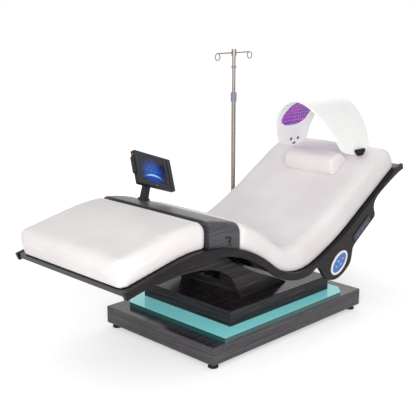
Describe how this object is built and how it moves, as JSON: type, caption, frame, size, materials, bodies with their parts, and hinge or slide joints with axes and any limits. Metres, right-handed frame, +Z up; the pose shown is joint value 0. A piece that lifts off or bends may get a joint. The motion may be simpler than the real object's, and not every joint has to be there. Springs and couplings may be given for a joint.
{
  "type": "light therapy lounge chair",
  "caption": "Wave-shaped reclining treatment lounge on a stepped plinth, with padded cushions, a lift-off light arch, a tablet on a post and a telescopic infusion pole.",
  "frame": {"origin": "on the floor, under the middle of the whole", "axes": "+X from the foot end to the head end, +Y to the far side with the pole, +Z up"},
  "size_m": [2.0396, 0.8644, 1.394],
  "materials": {
    "laminate": "satin dark grey wood-grain laminate",
    "dark_laminate": "satin near-black laminate",
    "gloss_board": "high gloss black",
    "tinted_glass": "teal back-painted glass",
    "upholstery": "smooth white synthetic leather",
    "brushed_steel": "brushed",
    "black_metal": "black powder coat",
    "dark_plastic": "fine matt",
    "white_shell": "soft satin",
    "white_plastic": "gloss",
    "display": "lit display behind a clear cover",
    "light_board": "rows of red and blue lamps",
    "red_plastic": "gloss",
    "grey_plastic": "satin lavender grey"
  },
  "bodies": {
    "base": {"lower_plinth": "laminate", "glass_slab": "tinted_glass", "upper_plinth": "laminate", "swoosh_bracket_near": "laminate", "swoosh_bracket_far": "laminate", "pivot_bush_near": "brushed_steel", "pivot_bush_far": "brushed_steel", "bracket_web": "laminate", "ram_clevis": "black_metal", "control_box": "dark_plastic", "mains_inlet": "dark_plastic", "pole_socket": "black_metal", "pole_lower": "brushed_steel"},
    "lounge": {"platform": "gloss_board", "side_plate_near": "dark_laminate", "side_plate_far": "dark_laminate", "batten_foot": "laminate", "batten_head": "laminate", "pivot_hanger_near": "black_metal", "pivot_hanger_far": "black_metal", "tilt_shaft": "brushed_steel", "tilt_crank": "black_metal", "leg_cushion": "upholstery", "back_cushion": "upholstery", "console": "laminate", "headset_hook": "black_metal", "tablet_foot": "dark_plastic", "keypad_ring": "white_plastic", "keypad_face": "display", "strip_panel": "gloss_board"},
    "ram_body": {"ram_tube": "black_metal", "ram_motor": "black_metal"},
    "ram_stroke": {"ram_rod": "brushed_steel"},
    "post": {"tablet_post": "dark_plastic"},
    "tablet": {"tablet_body": "dark_plastic", "tablet_screen": "display", "tablet_head": "black_metal"},
    "home_key": {"home_button": "brushed_steel"},
    "side_key": {"side_button": "red_plastic"},
    "head_pillow": {"pillow": "upholstery"},
    "light_dome": {"light_shell": "white_shell", "light_panel": "light_board", "press_stud_1": "dark_plastic", "press_stud_2": "dark_plastic", "light_plug": "dark_plastic"},
    "collar": {"pole_collar": "grey_plastic"},
    "pole_top": {"pole_upper": "brushed_steel", "pole_ring": "grey_plastic", "hook_bar": "brushed_steel"},
    "foot_1": {"levelling_foot_1": "black_metal"},
    "foot_2": {"levelling_foot_2": "black_metal"},
    "foot_3": {"levelling_foot_3": "black_metal"},
    "foot_4": {"levelling_foot_4": "black_metal"},
    "key_1": {"keypad_key_1": "white_plastic"},
    "key_2": {"keypad_key_2": "red_plastic"},
    "key_3": {"keypad_key_3": "white_plastic"},
    "key_4": {"keypad_key_4": "white_plastic"},
    "strip_1": {"strip_key_1": "display"},
    "strip_2": {"strip_key_2": "display"},
    "strip_3": {"strip_key_3": "display"}
  },
  "joints": [
    {"name": "lounge_tilt", "type": "hinge", "parent": "base", "child": "lounge", "pos_m": [-0.30627, -0.02685, 0.462], "axis": [0, 1, 0], "range_deg": [-12, 0]},
    {"name": "ram_swing", "type": "hinge", "parent": "base", "child": "ram_body", "pos_m": [0.08187, -0.02685, 0.252], "axis": [0, 1, 0], "range_deg": [-3, 3]},
    {"name": "ram_extend", "type": "slide", "parent": "ram_body", "child": "ram_stroke", "axis": [-0.9641, 0, 0.2654], "range_m": [-0.03, 0.03]},
    {"name": "post_swivel", "type": "hinge", "parent": "lounge", "child": "post", "pos_m": [-0.36549, 0.20465, 0.68858], "axis": [0.2643, 0, 0.9644], "range_deg": [-60, 60]},
    {"name": "tablet_tilt", "type": "hinge", "parent": "post", "child": "tablet", "pos_m": [-0.33039, 0.20465, 0.81666], "axis": [0.9398, 0.113, -0.3226], "range_deg": [-25, 20]},
    {"name": "home_key_press", "type": "slide", "parent": "tablet", "child": "home_key", "axis": [-0.2545, 0.8613, -0.4398], "range_m": [0, 0.001], "stiffness_N_per_m": 300, "springref_m": -0.001},
    {"name": "side_key_press", "type": "slide", "parent": "tablet", "child": "side_key", "axis": [0.9398, 0.113, -0.3226], "range_m": [0, 0.001], "stiffness_N_per_m": 300, "springref_m": -0.001},
    {"name": "pillow_lift", "type": "slide", "parent": "lounge", "child": "head_pillow", "axis": [-0.51, 0, 0.8602], "range_m": [0, 0.1]},
    {"name": "dome_lift", "type": "slide", "parent": "lounge", "child": "light_dome", "axis": [0, 0, 1], "range_m": [0, 0.3]},
    {"name": "collar_twist", "type": "hinge", "parent": "base", "child": "collar", "pos_m": [0.51271, 0.41315, 1.093], "axis": [0, 0, 1], "range_deg": [0, 90]},
    {"name": "pole_slide", "type": "slide", "parent": "base", "child": "pole_top", "axis": [0, 0, 1], "range_m": [-0.13, 0.4]},
    {"name": "foot_1_screw", "type": "slide", "parent": "base", "child": "foot_1", "axis": [0, 0, -1], "range_m": [0, 0.012]},
    {"name": "foot_2_screw", "type": "slide", "parent": "base", "child": "foot_2", "axis": [0, 0, -1], "range_m": [0, 0.012]},
    {"name": "foot_3_screw", "type": "slide", "parent": "base", "child": "foot_3", "axis": [0, 0, -1], "range_m": [0, 0.012]},
    {"name": "foot_4_screw", "type": "slide", "parent": "base", "child": "foot_4", "axis": [0, 0, -1], "range_m": [0, 0.012]},
    {"name": "key_1_press", "type": "slide", "parent": "lounge", "child": "key_1", "axis": [0, 1, 0], "range_m": [0, 0.001], "stiffness_N_per_m": 300, "springref_m": -0.001},
    {"name": "key_2_press", "type": "slide", "parent": "lounge", "child": "key_2", "axis": [0, 1, 0], "range_m": [0, 0.001], "stiffness_N_per_m": 300, "springref_m": -0.001},
    {"name": "key_3_press", "type": "slide", "parent": "lounge", "child": "key_3", "axis": [0, 1, 0], "range_m": [0, 0.001], "stiffness_N_per_m": 300, "springref_m": -0.001},
    {"name": "key_4_press", "type": "slide", "parent": "lounge", "child": "key_4", "axis": [0, 1, 0], "range_m": [0, 0.001], "stiffness_N_per_m": 300, "springref_m": -0.001},
    {"name": "strip_1_press", "type": "slide", "parent": "lounge", "child": "strip_1", "axis": [0, 1, 0], "range_m": [0, 0.0009], "stiffness_N_per_m": 300, "springref_m": -0.001},
    {"name": "strip_2_press", "type": "slide", "parent": "lounge", "child": "strip_2", "axis": [0, 1, 0], "range_m": [0, 0.0009], "stiffness_N_per_m": 300, "springref_m": -0.001},
    {"name": "strip_3_press", "type": "slide", "parent": "lounge", "child": "strip_3", "axis": [0, 1, 0], "range_m": [0, 0.0009], "stiffness_N_per_m": 300, "springref_m": -0.001}
  ],
  "couplings": [
    {"joint": "ram_extend", "follows": "lounge_tilt", "m_per_rad": 0.1},
    {"joint": "ram_swing", "follows": "lounge_tilt", "ratio": 0.004}
  ]
}
